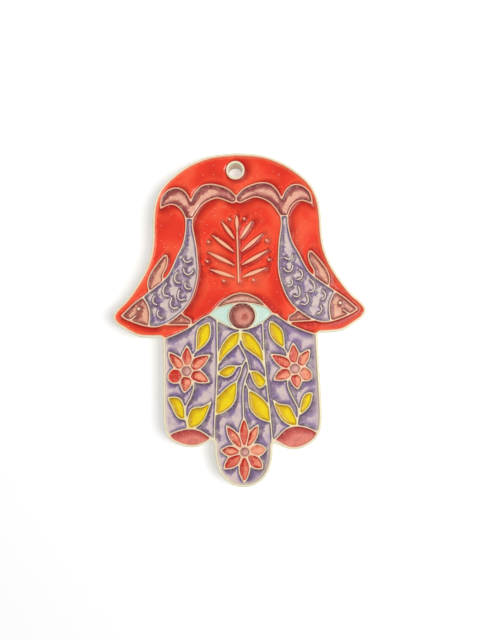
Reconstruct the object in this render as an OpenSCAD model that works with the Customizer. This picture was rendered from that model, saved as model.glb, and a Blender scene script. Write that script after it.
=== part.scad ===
// Hamsa hand ornament: a pressed clay plaque whose raised lines hold pools of fired glaze.
// It lies on its flat back, decorated face up (+Z), with the hanging hole towards +Y.

/* [Hand] */
// Height of the palm above the finger roots
palm_h = 55.2; // [50:0.1:64]
// Width of the palm beside the fish tails
palm_w = 56; // [52:0.5:64]
// Span from thumb tip to thumb tip
span_w = 84; // [78:0.5:94]
// Length of the outer fingers below the palm, down to the fingertips' upper lines
outer_finger_l = 35; // [32:0.1:40]
// Height of the left fingertip
left_tip_h = 6.7; // [5:0.1:9.5]
// Height of the right fingertip, which hangs a little lower
right_tip_h = 8.4; // [5:0.1:9.5]
// Length of the middle finger below the palm
middle_finger_l = 55.3; // [53:0.1:66]
// Width of the middle finger
middle_finger_w = 19; // [18:0.1:23]
// Radius of the corners between the fingers and under the thumbs
finger_fillet = 1; // [0.4:0.1:1.6]

/* [Clay] */
// Thickness of the clay under the glaze
floor_t = 6.4; // [3:0.1:12]
// Height of the raised lines above the pool floors
ridge_h = 1.6; // [1.1:0.1:3]
// Width of the raised lines between the pools
ridge_w = 0.6; // [0.5:0.05:1]
// Width of the bare rim along the edge of the hand
rim_w = 0.9; // [0.6:0.05:1.2]
// Narrowest strip of a pool that the mould can form
strip_w = 0.45; // [0.2:0.05:0.6]

/* [Hanging hole] */
// Diameter of the hanging hole
hole_d = 4.6; // [3:0.1:5.6]
// Distance of the hole's centre from the top edge
hole_drop = 5.7; // [5:0.1:6.5]
// Width of the bare ring round the hole
hole_ring_w = 0.9; // [0.5:0.05:1.2]

/* [Glaze] */
// Thickness of the glaze
glaze_t = 0.95; // [0.4:0.05:1.1]
// Clearance between the glaze and the walls of its pool
glaze_gap = 0.03; // [0.01:0.01:0.06]

/* [Eye] */
// Width of the eye from corner to corner
eye_w = 20.8; // [19:0.1:22]
// Height of the eye from its lower line to the top of the lid
eye_h = 12; // [11:0.1:13.5]
// Height of the lid at its middle
lid_h = 3.25; // [2.4:0.05:3.8]
// Diameter of the iris, inside its ring
iris_d = 8.4; // [6:0.1:8.8]
// Sideways shift of the eye from the middle of the hand
eye_shift = 0.45; // [0:0.05:0.8]

/* [Fish] */
// Width of the raised scales
scale_w = 0.6; // [0.5:0.05:0.9]
// Diameter of the raised ring of the fish's eye
fish_eye_d = 1.4; // [1:0.1:2]
// Width of the raised mouth
mouth_w = 0.55; // [0.4:0.05:0.9]

/* [Flowers] */
// Reach of the longest petal of the flowers on the outer fingers
outer_flower_r = 9.5; // [8.6:0.1:9.8]
// Diameter of the middle of the flowers on the outer fingers
outer_centre_d = 3.1; // [2.4:0.1:3.6]
// Reach of the longest petal of the flower on the middle finger
middle_flower_r = 11.4; // [10:0.1:11.5]
// Diameter of the middle of the flower on the middle finger
middle_centre_d = 2.8; // [2:0.1:3.2]
// Width of the raised stems
stem_w = 0.6; // [0.5:0.05:0.9]
// Strip of ground between the rim and the leaves and petals of the outer fingers
edge_strip_w = 0.5; // [0.5:0.05:0.7]

/* [Sprig] */
// Width of the stem of the raised sprig in the middle of the palm
sprig_stem_w = 0.75; // [0.6:0.05:1.2]
// Width of the sprig's leaves
sprig_leaf_w = 1.3; // [1:0.1:2]
// Diameter of the sprig's berries
berry_d = 1.2; // [1:0.1:1.8]

/* [Hidden] */
// Longest straight step along a drawn curve
step_l = 1.5;
// The pools are cut this far through the top of the raised lines
cut = 1;
top_z = floor_t + ridge_h;
// Areas that end at the rim are drawn out this far past the hand
far_x = 50;
far_y = 60;
hole_y = palm_h - hole_drop;
// Points are drawn on a hand of these sizes and moved with the sizes above
drawn_x = [0, 9.5, 28, 42];
drawn_y = [-55.3, -41.3, -35, 0, 55.2];
real_x = [0, middle_finger_w / 2, palm_w / 2, span_w / 2];
centre_y = (palm_h - middle_finger_l) / 2;
// Side being drawn, and the height of its fingertip
$side = "left";
$tip_h = left_tip_h;

SIDES = ["left", "right"];
FISH_POOLS = ["tail", "body", "head", "back_fin", "belly_fin"];
FINGER_POOLS = ["ground", "top_leaf", "outer_leaf", "inner_leaf", "petals", "flower_centre", "tip"];
MIDDLE_LEAVES = ["top_left", "top_right", "small_left", "small_right", "bottom_left", "bottom_right"];

// Left half of the palm's edge, from the crown round the thumb to the finger roots
palm_edge = [
    [0, 55.2], [-8.3, 54.4], [-15, 52], [-20.2, 48.7], [-24.6, 44.5], [-27.1, 39.3], [-27.9, 33.4],
    [-28.1, 28], [-28.8, 22.9], [-30.8, 17.5], [-33.8, 12.5], [-37.3, 7.8], [-40.3, 5], [-42, 2.4],
    [-41, 0], [-38.6, -1.8], [-34.1, -4.4], [-29.6, -5], [-24, -5], [-12, -5], [0, -5]
];
// Edge of the left finger, from under the thumb round the tip to the middle finger
outer_finger_edge = [
    [-25.7, -4], [-25.75, -10], [-25.95, -18], [-26.2, -26], [-26.25, -33], [-25.5, -37], [-23, -39.5],
    [-19.1, -41], [-16, -41.25], [-13.3, -40.6], [-10.6, -39.3], [-8, -37.4]
];
// Left half of the middle finger's edge
middle_finger_edge = [
    [-7.5, -3], [-8.7, -25], [-9.45, -36], [-9.6, -41], [-9.5, -45.2], [-8.1, -50.2], [-5.6, -53.3],
    [-2.8, -54.9], [0, -55.3]
];

// Left fish, along its back from the head to the root of the tail, and back along its belly
back_line = [
    [-39.1, 2.5], [-35, 6.3], [-31.8, 8.6], [-27.9, 11.4], [-24.9, 13.7], [-22.6, 16.4], [-20.1, 21.5],
    [-18, 25.6], [-16.9, 30.6], [-16.85, 34.1]
];
belly_line = [
    [-14.5, 34.1], [-14.7, 31], [-13.8, 25.6], [-13.4, 20.5], [-13.3, 16.5], [-14.1, 12], [-15.7, 7.6],
    [-17.8, 4.4], [-20.1, 2.3], [-23.4, 0], [-27, -1.3], [-30.3, -1.2], [-34.2, 0], [-37.4, 1.4], [-39.1, 2.5]
];
gill_line = [[-33, 10], [-31.8, 8.6], [-30.1, 5.5], [-29.7, 2.4], [-30.1, -1], [-30.4, -2.5]];
back_fin_line = [
    [-29.4, 9.6], [-30.1, 12.5], [-29.4, 15.4], [-27.4, 18.5], [-25.2, 21.2], [-23.8, 22.2], [-23.2, 20.6],
    [-23.8, 17.9], [-25.1, 15.6], [-24.7, 13]
];
belly_fin_line = [
    [-19.2, 3.6], [-18.5, 2], [-17, 1.3], [-16.1, 0.4], [-16, -0.8], [-16.6, -1.1], [-20, -0.95], [-24.4, -0.85]
];
tail_top_line = [[-25.1, 37.6], [-24.6, 41], [-22.4, 43.5], [-19.35, 44.2], [-16.7, 42.7], [-15, 39.5]];
tail_crest_line = [
    [-15, 39.5], [-13.7, 42.3], [-11.3, 44.6], [-8, 45.1], [-4.35, 44.15], [-1.9, 42.8], [0, 40.7]
];
tail_inner_line = [
    [0, 39.3], [-1.1, 38.75], [-3.5, 39.7], [-6.1, 40.6], [-9.1, 39.8], [-11.7, 38.1], [-13.4, 35.8], [-14.5, 34]
];
tail_outer_line = [[-16.85, 34], [-17.8, 36.4], [-20, 38.6], [-22.4, 38.85], [-25.1, 37.6]];
// Edge of the panel under the left fish, hidden by it, down past the belly fin
panel_side = [[-15.8, 30], [-17, 12], [-22, 1.4], [-20, -0.9], [-16.6, -1.1], [-16.5, -6]];
scales = [
    [[-18.2, 21], [-17.7, 19.9], [-16.6, 19.5], [-15.4, 20.2]],
    [[-18.1, 17.6], [-17.9, 16.2], [-16.8, 15.4], [-15.6, 15.8], [-14.9, 16.8]],
    [[-20.1, 16.3], [-21, 15.5], [-21.2, 14.2], [-20.6, 13.05], [-19.3, 12.8]],
    [[-17.6, 12.9], [-17.9, 11.7], [-17.2, 10.8], [-16, 10.75]],
    [[-23.8, 12.8], [-24.8, 11.5], [-25.2, 10.1], [-24.6, 8.8], [-23.3, 8.6]],
    [[-19.7, 10.5], [-20.2, 9], [-20.1, 7.7], [-19.3, 7], [-18, 7.5]],
    [[-27.7, 8.9], [-28.5, 8], [-28.6, 7.1], [-28.2, 6.2], [-27.2, 5.9]],
    [[-22.2, 8], [-22.8, 6.7], [-22.7, 5.2], [-21.8, 4.4], [-20.4, 4.8]],
    [[-26.7, 4.1], [-27.3, 3], [-26.9, 1.9], [-25.6, 1.3]]
];
fish_eye = [-33.3, 4.7];
mouth_line = [[-36.8, 0.7], [-35.6, 1.4], [-34.3, 2.4]];

// Lower edge of the palm, from under the left thumb to the eye's left corner and on to the middle
root_line = [
    [-30, -5.2], [-25.6, -5.4], [-22.5, -4.6], [-19, -3.1], [-16.2, -1.6], [-13.2, 0.5], [-10.4, 1.95], [-8, 2.05]
];
// Line between the left and the middle finger
divider_line = [[-7.5, 2.6], [-7.6, -5], [-7.8, -14], [-8.4, -23], [-9.1, -31], [-9.5, -38], [-9.6, -42]];

// Eye, from its own middle: half widths and heights are shares of its sizes
lid_peak = 0.58;
lid_top_line = [
    [-0.5, 0], [-0.46, 0.085], [-0.385, 0.225], [-0.26, 0.415], [-0.13, 0.53], [0, lid_peak], [0.13, 0.54],
    [0.26, 0.43], [0.37, 0.255], [0.44, 0.12], [0.5, 0]
];
eye_lower_line = [
    [0.5, 0], [0.42, -0.13], [0.32, -0.26], [0.22, -0.35], [0.1, -0.415], [0, -0.425], [-0.1, -0.405],
    [-0.2, -0.33], [-0.32, -0.225], [-0.42, -0.1], [-0.5, 0]
];
lid_end = 0.43;
lid_droop = 0.17;
lid_step = 0.25;
eye_y = 2;
iris_shift = [0.35, -0.7];

// Leaves of the left finger, the top, outer and inner one, each along one edge and back along the other
left_finger_leaves = [
    [
        [[-14.7, -9.9], [-14.5, -6], [-14, -2.9], [-12.7, -1.5], [-10.2, -0.5]],
        [[-10.2, -0.5], [-9.7, -2.8], [-10.2, -5.8], [-12, -8.1], [-14.7, -9.9]]
    ],
    [
        [[-24.7, -25], [-22, -24.8], [-20.3, -25.7], [-19.3, -28], [-19.1, -32.3]],
        [[-19.1, -32.3], [-20.8, -31.9], [-22.2, -30.4], [-23.3, -27.8], [-24.7, -25]]
    ],
    [
        [[-10.3, -26.7], [-12.8, -28.2], [-16.2, -28.6], [-17.5, -30], [-18.2, -32.6], [-18, -35.2]],
        [[-18, -35.2], [-15.3, -34.8], [-13, -32.8], [-11.6, -30], [-10.3, -26.7]]
    ]
];
left_finger_stems = [
    [[-14.6, -9.6], [-15.6, -11], [-16.4, -12.9]],
    [[-16.4, -18.8], [-15.8, -21.3], [-16.9, -25], [-18.6, -28], [-18.8, -31.2], [-18.3, -35.4]]
];
// Leaves of the right finger, drawn on the left as its mirror image
right_finger_leaves = [
    [
        [[-14.4, -9.7], [-14.4, -7.3], [-14.2, -5], [-13.7, -3.5], [-12.7, -2.3], [-11.3, -1.3], [-10, -0.7]],
        [[-10, -0.7], [-9.6, -2.9], [-10.1, -5.5], [-11.3, -7.3], [-12.8, -8.7], [-14.4, -9.7]]
    ],
    [
        [[-23.3, -24.8], [-21.9, -24.7], [-20.7, -25.3], [-19.8, -26.9], [-19.2, -29], [-18.8, -31.8]],
        [[-18.8, -31.8], [-20, -31.1], [-21.4, -29.9], [-22.4, -28.5], [-23, -26.6], [-23.3, -24.8]]
    ],
    [
        [[-10.2, -26.7], [-11.9, -28.1], [-13.8, -28.4], [-15.2, -28.6], [-16, -29.4], [-16.9, -31.2],
            [-17.7, -33.2], [-17.9, -35.3]],
        [[-17.9, -35.3], [-15.6, -35.1], [-14, -34.3], [-12.6, -32.8], [-11.4, -30.4], [-10.2, -26.7]]
    ]
];
right_finger_stems = [
    [[-14.3, -9.6], [-15, -10.7], [-15.5, -12.9]],
    [[-16, -18.8], [-15.1, -21.2], [-15.8, -24.2], [-17.4, -27.5], [-18.3, -29.6], [-18.4, -32], [-17.9, -35.4]]
];
tip_line = [[-27, -38.4], [-24.8, -37.3], [-22, -36.1], [-18.2, -35.4], [-14.3, -36], [-10.9, -38.3], [-9, -39.4]];
// Leaves of the middle finger, each from its stalk along one edge to its tip and back along the other
top_left_leaf = [
    [[-0.1, -3.9], [-2.6, -4.5], [-5.1, -6.7], [-6.8, -9.7], [-7.7, -14.6]],
    [[-7.7, -14.6], [-5.2, -11.6], [-2.3, -9.1], [-0.9, -7.6], [-0.1, -3.9]]
];
top_right_leaf = [
    [[0.2, -3.9], [3.2, -4.6], [5.4, -7], [6.9, -10], [7.8, -16.2]],
    [[7.8, -16.2], [6.3, -13.1], [3.3, -10.7], [0.9, -8.3], [0.2, -3.9]]
];
small_left_leaf = [
    [[-1.4, -15.2], [-4.2, -15], [-6, -15.9], [-7.9, -17.4]],
    [[-7.9, -17.4], [-5.1, -18.8], [-2.9, -17.7], [-1.4, -15.2]]
];
small_right_leaf = [
    [[2.9, -16.9], [5, -17.2], [7, -18.6], [8.1, -20.4]],
    [[8.1, -20.4], [7.3, -22], [5.8, -22.6], [4.3, -21], [3.5, -19], [2.9, -16.9]]
];
bottom_left_leaf = [
    [[-1.6, -20.2], [-4.2, -21.6], [-7, -24], [-8.5, -25.6]],
    [[-8.9, -31], [-6, -30.1], [-3.3, -28], [-2, -25], [-1.6, -20.2]]
];
bottom_right_leaf = [
    [[2.2, -23], [4.9, -24.6], [7.4, -26.8], [8.8, -29]],
    [[9.2, -34], [6.2, -33], [3.6, -30.9], [2.3, -28], [2.2, -23]]
];
middle_leaf_lines = [
    top_left_leaf, top_right_leaf, small_left_leaf, small_right_leaf, bottom_left_leaf, bottom_right_leaf
];
middle_finger_stems = [
    [[0.1, -3], [-0.1, -5.9], [-0.4, -8], [0.9, -10.6], [2, -13.4], [2.4, -16.8], [1.3, -19.8], [0.4, -23.4],
        [0.3, -32]],
    [[1.9, -12.8], [0.6, -14.8], [-0.5, -18.1], [-1.8, -20.6]],
    [[0.5, -15.1], [-1.6, -15.3]],
    [[2.4, -16.8], [3.4, -17.1]],
    [[1.1, -20.4], [1.6, -21.6], [2.5, -23.6]]
];

// Petals: direction of the tip, share of the longest reach, width, lean of the base, pointedness
left_flower = [-18.1, -16.35];
left_petals = [
    [87, 0.89, 3.6, 0, 1], [32.5, 1, 4, 6, 1], [-27, 0.89, 4, 5, 0.9], [-97, 0.76, 3.9, 7, 0.9],
    [-157, 0.71, 5, 0, 0.5], [132, 0.91, 3.5, 12, 0.9]
];
right_flower = [-17.7, -16.6];
right_petals = [
    [88, 0.9, 3.6, 0, 1], [32, 0.98, 3.6, 2, 1], [-26, 0.83, 3.9, 5, 0.9], [-97, 0.72, 3.7, 4, 0.9],
    [-149, 0.68, 4.5, 0, 0.5], [129.5, 0.85, 3.5, 8, 0.9]
];
outer_petal_root = 48;
middle_flower = [0.35, -43.25];
middle_petals = [
    [89.5, 1, 3.05, 8, 1], [61.8, 0.88, 3.15, 10, 0.9], [5.5, 0.63, 4, 2, 0.8], [-44.5, 0.71, 3.9, -8, 0.75],
    [-92.4, 0.89, 3.5, -4, 0.9], [-142.8, 0.78, 3.8, 0, 0.9], [175, 0.71, 3.5, 0, 1], [123.2, 0.93, 3.2, 7, 0.9]
];
middle_petal_root = 12;
// Reach of a petal's sector, as a share of the longest petal's
sector_reach = 2;
// Sides of the rings round the flowers' middles
ring_sides = 20;

// Sprig on the red panel, its left half: leaves from stalk to tip, and berries
sprig_y = 12.5;
sprig_stem = [[0, 0], [0, 8], [0, 16.5]];
sprig_leaves = [
    [[-1.1, 1.6], [-9.6, 4.6]],
    [[-1.1, 5.6], [-10.2, 10.4]],
    [[-1.1, 10], [-8.6, 16]],
    [[-0.9, 14.2], [-5.2, 20.4]]
];
sprig_top_leaf = [[0, 17.2], [0, 22.4]];
sprig_leaf_root = 10;
sprig_leaf_point = 0.8;
sprig_berries = [[-4.9, 0.6], [-10.2, 7.2], [-9.6, 13.6], [-2.4, 20.9]];

// Value read off a rising line through the drawn stops and the real ones
function moved(v, drawn, real) = lookup(v, [for (i = [0 : len(drawn) - 1]) [drawn[i], real[i]]]);

function y_at(y) =
    moved(y, drawn_y, [-middle_finger_l, -outer_finger_l - $tip_h, -outer_finger_l, 0, palm_h]);

// A drawn point, moved with the sizes of the hand
function at(p) = [sign(p.x) * moved(abs(p.x), drawn_x, real_x), y_at(p.y)];

function on_curve(a, b, c, d, t) =
    b + (c - a) * t / 2 + (2 * a - 5 * b + 4 * c - d) * t * t / 2 + (3 * b - a - 3 * c + d) * t * t * t / 2;

// Smooth open curve through the points
function curve(p) = [
    for (i = [0 : len(p) - 2])
        let (n = ceil(norm(p[i + 1] - p[i]) / step_l))
            for (s = [0 : n - 1]) on_curve(p[max(i - 1, 0)], p[i], p[i + 1], p[min(i + 2, len(p) - 1)], s / n),
    p[len(p) - 1]
];

// The one of two values that belongs to the side being drawn
function by_side(left, right) = $side == "right" ? right : left;

function finger_leaves() = by_side(left_finger_leaves, right_finger_leaves);

function finger_stems() = by_side(left_finger_stems, right_finger_stems);

// The left half of a shape joined to its mirror image
function both_halves(p) = concat(p, [for (i = [len(p) - 2 : -1 : 0]) [-p[i].x, p[i].y]]);

function joined(lines) = [for (line = lines) each curve(line)];

function moved_all(points) = [for (p = points) at(p)];

function direction(angle) = [cos(angle), sin(angle)];

// Unit vector square to a line of points at its point i
function side_of(p, i) =
    let (d = p[min(i + 1, len(p) - 1)] - p[max(i - 1, 0)])
        [-d.y, d.x] / norm(d);

module shape(lines) {
    polygon(moved_all(joined(lines)));
}

// A raised line of one width with round ends
module stroke(line, width) {
    p = moved_all(curve(line));
    last = len(p) - 1;
    polygon(concat(
        [for (i = [0 : last]) p[i] + side_of(p, i) * width / 2],
        [for (i = [last : -1 : 0]) p[i] - side_of(p, i) * width / 2]
    ));
    for (end = [p[0], p[last]]) translate(end) circle(d = width, $fn = 8);
}

module mirrored(side) {
    $side = side;
    $tip_h = by_side(left_tip_h, right_tip_h);
    mirror([side == "right" ? 1 : 0, 0, 0]) children();
}

module both_sides() {
    for (side = SIDES) mirrored(side) children();
}

module hand_shape() {
    offset(r = -finger_fillet, $fn = 32) offset(delta = finger_fillet) {
        shape([both_halves(palm_edge)]);
        both_sides() shape([outer_finger_edge, [[-5, -36], [-5, -3]]]);
        shape([both_halves(middle_finger_edge)]);
    }
}

// Inside of the first child, up to the raised lines round it, and clear of the second child
module pool_area(has_others) {
    difference() {
        intersection() {
            offset(delta = -rim_w) mirrored($side) hand_shape();
            offset(r = -ridge_w / 2, $fn = 8) children(0);
        }
        if (has_others) children(1);
    }
}

// Glaze inside the first child and clear of the others, but not in strips too narrow to mould
module pool() {
    has_others = $children > 1;
    offset(delta = -glaze_gap) intersection() {
        pool_area(has_others) {
            children(0);
            if (has_others) children([1 : $children - 1]);
        }
        offset(delta = strip_w / 2 + glaze_gap) offset(delta = -strip_w / 2) pool_area(has_others) {
            children(0);
            if (has_others) children([1 : $children - 1]);
        }
    }
}

module fish_shape() {
    shape([back_line, belly_line]);
}

module gill_side_shape() {
    shape([gill_line, [[-44, -2.5], [-44, 10]]]);
}

module tail_shape() {
    shape([tail_top_line, tail_crest_line, tail_inner_line, tail_outer_line]);
}

module back_fin_shape() {
    shape([back_fin_line]);
}

module belly_fin_shape() {
    shape([belly_fin_line, [[-24.4, 1], [-22, 3]]]);
}

module fish_outline() {
    fish_shape();
    tail_shape();
    back_fin_shape();
    belly_fin_shape();
}

module fish_pool(part) {
    if (part == "tail") pool() tail_shape();
    if (part == "body") pool() {
        difference() {
            fish_shape();
            gill_side_shape();
        }
        for (line = scales) stroke(line, scale_w);
    }
    if (part == "head") pool() {
        intersection() {
            fish_shape();
            gill_side_shape();
        }
        translate(at(fish_eye)) circle(d = fish_eye_d, $fn = 16);
        stroke(mouth_line, mouth_w);
    }
    if (part == "back_fin") pool() difference() {
        back_fin_shape();
        fish_shape();
    }
    if (part == "belly_fin") pool() difference() {
        belly_fin_shape();
        fish_shape();
    }
}

// Area between the root line and the top of the hand
module palm_shape() {
    shape([both_halves(concat([[-far_x, -5.2]], root_line)), [[far_x, far_y], [-far_x, far_y]]]);
}

module panel_shape() {
    difference() {
        intersection() {
            palm_shape();
            both_sides() shape([[[1, 39.3], [0, 39.3]], tail_inner_line, panel_side, [[1, -6]]]);
        }
        both_sides() fish_outline();
        eye_shape();
    }
}

module in_eye_frame() {
    translate([eye_shift, y_at(eye_y)]) children();
}

function in_eye(line) = [for (p = curve(line)) [p.x * eye_w, p.y * eye_h]];

module eye_shape() {
    in_eye_frame() polygon(concat(in_eye(lid_top_line), in_eye(eye_lower_line)));
}

module lid_shape() {
    lid_y = lid_peak * eye_h - lid_h;
    line = [for (x = [-1 : lid_step : 1]) [x * lid_end * eye_w, lid_y - x * x * lid_droop * eye_h]];
    in_eye_frame() intersection() {
        polygon(concat(in_eye(lid_top_line), in_eye(eye_lower_line)));
        polygon(concat(line, [[eye_w, eye_h], [-eye_w, eye_h]]));
    }
}

module iris_shape() {
    in_eye_frame() translate(iris_shift) circle(d = iris_d + ridge_w, $fn = 40);
}

module eyelid_pool() {
    pool() lid_shape();
}

module iris_pool() {
    pool() intersection() {
        iris_shape();
        difference() {
            eye_shape();
            lid_shape();
        }
    }
}

module eye_white_pool() {
    pool() difference() {
        eye_shape();
        lid_shape();
        iris_shape();
    }
}

// A pointed leaf or petal from base to tip; root is where on a sine its width starts
module almond(base, tip, width, root, point) {
    n = 8;
    along = tip - base;
    across = [-along.y, along.x] / norm(along);
    half = [for (i = [0 : n]) pow(max(sin(root + (180 - root) * i / n), 0), point) * width / 2];
    polygon(concat(
        [for (i = [0 : n]) base + along * i / n + across * half[i]],
        [for (i = [n : -1 : 0]) base + along * i / n - across * half[i]]
    ));
}

module sprig_leaf(leaf) {
    almond(leaf[0], leaf[1], sprig_leaf_w, sprig_leaf_root, sprig_leaf_point);
}

module sprig() {
    translate([0, y_at(sprig_y)]) {
        stroke(sprig_stem, sprig_stem_w);
        sprig_leaf(sprig_top_leaf);
        both_sides() {
            for (leaf = sprig_leaves) sprig_leaf(leaf);
            for (p = sprig_berries) translate(p) circle(d = berry_d, $fn = 12);
        }
    }
}

module red_panel_pool() {
    pool() {
        panel_shape();
        sprig();
    }
}

module red_field_pool() {
    pool() {
        difference() {
            palm_shape();
            panel_shape();
            both_sides() fish_outline();
            eye_shape();
        }
        translate([0, hole_y]) circle(d = hole_d + 2 * hole_ring_w, $fn = 36);
    }
}

// One petal, from the ring round the flower's middle to its tip
module petal_shape(petal, ring_r, reach, root) {
    almond(
        direction(petal[0] + petal[3]) * ring_r, direction(petal[0]) * petal[1] * reach,
        petal[2], root, petal[4]
    );
}

// The sector of a flower that petal i may fill, up to half way to its neighbours
module petal_sector(petals, i, reach) {
    n = len(petals);
    a = petals[i][0];
    next = petals[(i + 1) % n][0];
    before = petals[(i + n - 1) % n][0];
    cw = ((a - next) % 360 + 360) % 360 / 2;
    ccw = ((before - a) % 360 + 360) % 360 / 2;
    polygon(concat([[0, 0]], [for (side = [a - cw, a, a + ccw]) direction(side) * sector_reach * reach]));
}

module flower_ring(middle, centre_d) {
    translate(at(middle)) circle(d = centre_d + ridge_w, $fn = ring_sides);
}

// Petal i of a flower, where its neighbours and the flower's middle leave room for it
module placed_petal(middle, petals, i, centre_d, reach, root) {
    difference() {
        translate(at(middle)) intersection() {
            petal_shape(petals[i], (centre_d + ridge_w) / 2, reach, root);
            petal_sector(petals, i, reach);
        }
        flower_ring(middle, centre_d);
    }
}

module flower_shape(middle, petals, centre_d, reach, root) {
    flower_ring(middle, centre_d);
    for (i = [0 : len(petals) - 1]) placed_petal(middle, petals, i, centre_d, reach, root);
}

module petal_pools(middle, petals, centre_d, reach, root) {
    for (i = [0 : len(petals) - 1]) pool() intersection() {
        placed_petal(middle, petals, i, centre_d, reach, root);
        inside_rim();
    }
}

// Area that the leaves and petals of an outer finger may fill
module inside_rim() {
    offset(delta = -(rim_w + ridge_w / 2 + edge_strip_w)) mirrored($side) hand_shape();
}

module outer_flower_shape() {
    intersection() {
        flower_shape(
            by_side(left_flower, right_flower), by_side(left_petals, right_petals),
            outer_centre_d, outer_flower_r, outer_petal_root
        );
        inside_rim();
    }
}

module middle_flower_shape() {
    flower_shape(middle_flower, middle_petals, middle_centre_d, middle_flower_r, middle_petal_root);
}

// Area of the left finger between the rim, the root line, the divider and the fingertip's line
module outer_finger_shape() {
    difference() {
        shape([divider_line, [[-far_x, -42], [-far_x, 5]]]);
        palm_shape();
    }
}

module outer_tip_shape() {
    intersection() {
        outer_finger_shape();
        shape([tip_line, [[-9, -far_y], [-far_x, -far_y], [-far_x, -38.4]]]);
    }
}

module middle_finger_shape() {
    difference() {
        both_sides() shape([divider_line, [[-12, -44], [-12, -far_y], [1, -far_y], [1, 2.6]]]);
        palm_shape();
    }
}

module outer_leaf_pool(leaf) {
    pool() difference() {
        intersection() {
            shape(leaf);
            outer_finger_shape();
            inside_rim();
        }
        outer_tip_shape();
        outer_flower_shape();
    }
}

module outer_finger_pool(part) {
    if (part == "ground") pool() {
        difference() {
            outer_finger_shape();
            outer_tip_shape();
            for (leaf = finger_leaves()) intersection() {
                shape(leaf);
                inside_rim();
            }
            outer_flower_shape();
            mirrored($side) eye_shape();
        }
        for (line = finger_stems()) stroke(line, stem_w);
    }
    if (part == "top_leaf") outer_leaf_pool(finger_leaves()[0]);
    if (part == "outer_leaf") outer_leaf_pool(finger_leaves()[1]);
    if (part == "inner_leaf") outer_leaf_pool(finger_leaves()[2]);
    if (part == "petals") petal_pools(
        by_side(left_flower, right_flower), by_side(left_petals, right_petals),
        outer_centre_d, outer_flower_r, outer_petal_root
    );
    if (part == "flower_centre") pool() flower_ring(by_side(left_flower, right_flower), outer_centre_d);
    if (part == "tip") pool() outer_tip_shape();
}

module middle_leaf_pool(leaf) {
    pool() {
        difference() {
            intersection() {
                shape(leaf);
                middle_finger_shape();
            }
            middle_flower_shape();
            eye_shape();
        }
        for (line = middle_finger_stems) stroke(line, stem_w);
    }
}

module middle_ground_pool() {
    pool() {
        difference() {
            middle_finger_shape();
            for (leaf = middle_leaf_lines) shape(leaf);
            middle_flower_shape();
            eye_shape();
        }
        for (line = middle_finger_stems) stroke(line, stem_w);
    }
}

module middle_petals_pool() {
    petal_pools(middle_flower, middle_petals, middle_centre_d, middle_flower_r, middle_petal_root);
}

module middle_centre_pool() {
    pool() flower_ring(middle_flower, middle_centre_d);
}

module all_pools() {
    red_field_pool();
    red_panel_pool();
    both_sides() {
        for (part = FISH_POOLS) fish_pool(part);
        for (part = FINGER_POOLS) outer_finger_pool(part);
    }
    eyelid_pool();
    eye_white_pool();
    iris_pool();
    for (leaf = middle_leaf_lines) middle_leaf_pool(leaf);
    middle_ground_pool();
    middle_petals_pool();
    middle_centre_pool();
}

module centred() {
    translate([0, -centre_y, 0]) children();
}

module clay_body() {
    color("#f2e2c4") centred() difference() {
        linear_extrude(top_z) hand_shape();
        translate([0, 0, floor_t]) linear_extrude(ridge_h + cut) offset(delta = glaze_gap) all_pools();
        translate([0, hole_y, -cut]) cylinder(d = hole_d, h = top_z + 2 * cut, $fn = 64);
    }
}

// Glaze of one colour, poured into the pools of its children
module glaze(colour) {
    color(colour) centred() translate([0, 0, floor_t]) linear_extrude(glaze_t) children();
}

function fish_colour(part) =
    part == "tail" ? "#b8706a" :
    part == "body" ? "#9a84a8" :
    part == "head" ? "#b85a5a" :
    "#d89080";

function finger_colour(part) =
    part == "ground" ? "#a894b0" :
    part == "petals" ? "#e8644c" :
    part == "flower_centre" ? "#b88a98" :
    part == "tip" ? "#c84a50" :
    "#f0cc10";

module fish_glaze(part) {
    glaze(fish_colour(part)) fish_pool(part);
}

module finger_glaze(part) {
    glaze(finger_colour(part)) outer_finger_pool(part);
}

module red_glaze_field() {
    glaze("#e8321e") red_field_pool();
}

module red_glaze_panel() {
    glaze("#e8321e") red_panel_pool();
}

module eyelid_glaze() {
    glaze("#b8706a") eyelid_pool();
}

module eye_white_glaze() {
    glaze("#cdebe1") eye_white_pool();
}

module iris_glaze() {
    glaze("#be6e64") iris_pool();
}

module middle_leaf_glaze(i) {
    glaze(finger_colour("leaf")) middle_leaf_pool(middle_leaf_lines[i]);
}

module middle_finger_ground_glaze() {
    glaze(finger_colour("ground")) middle_ground_pool();
}

module middle_finger_petals_glaze() {
    glaze(finger_colour("petals")) middle_petals_pool();
}

module middle_finger_flower_centre_glaze() {
    glaze(finger_colour("flower_centre")) middle_centre_pool();
}

clay_body();
red_glaze_field();
red_glaze_panel();
eyelid_glaze();
eye_white_glaze();
iris_glaze();
for (side = SIDES, part = FISH_POOLS)
    mirrored(side) fish_glaze(part);
for (side = SIDES, part = FINGER_POOLS)
    mirrored(side) finger_glaze(part);
for (i = [0 : len(MIDDLE_LEAVES) - 1])
    middle_leaf_glaze(i);
middle_finger_ground_glaze();
middle_finger_petals_glaze();
middle_finger_flower_centre_glaze();
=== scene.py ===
"""Hamsa hand ornament: a pressed clay plaque whose raised lines hold pools of fired glaze.

Lengths are millimetres on the object unless a name or comment says otherwise; Blender's
own units are metres. The plaque lies on its back, decorated face up.
"""

from __future__ import annotations

import logging
import math
from collections.abc import Iterable
from dataclasses import dataclass, field, replace
from enum import Enum

import bpy
import numpy as np
from bpy.types import ID, Material, Node, NodeSocket, Object, World
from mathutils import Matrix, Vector, kdtree
from mathutils.geometry import delaunay_2d_cdt


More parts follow.
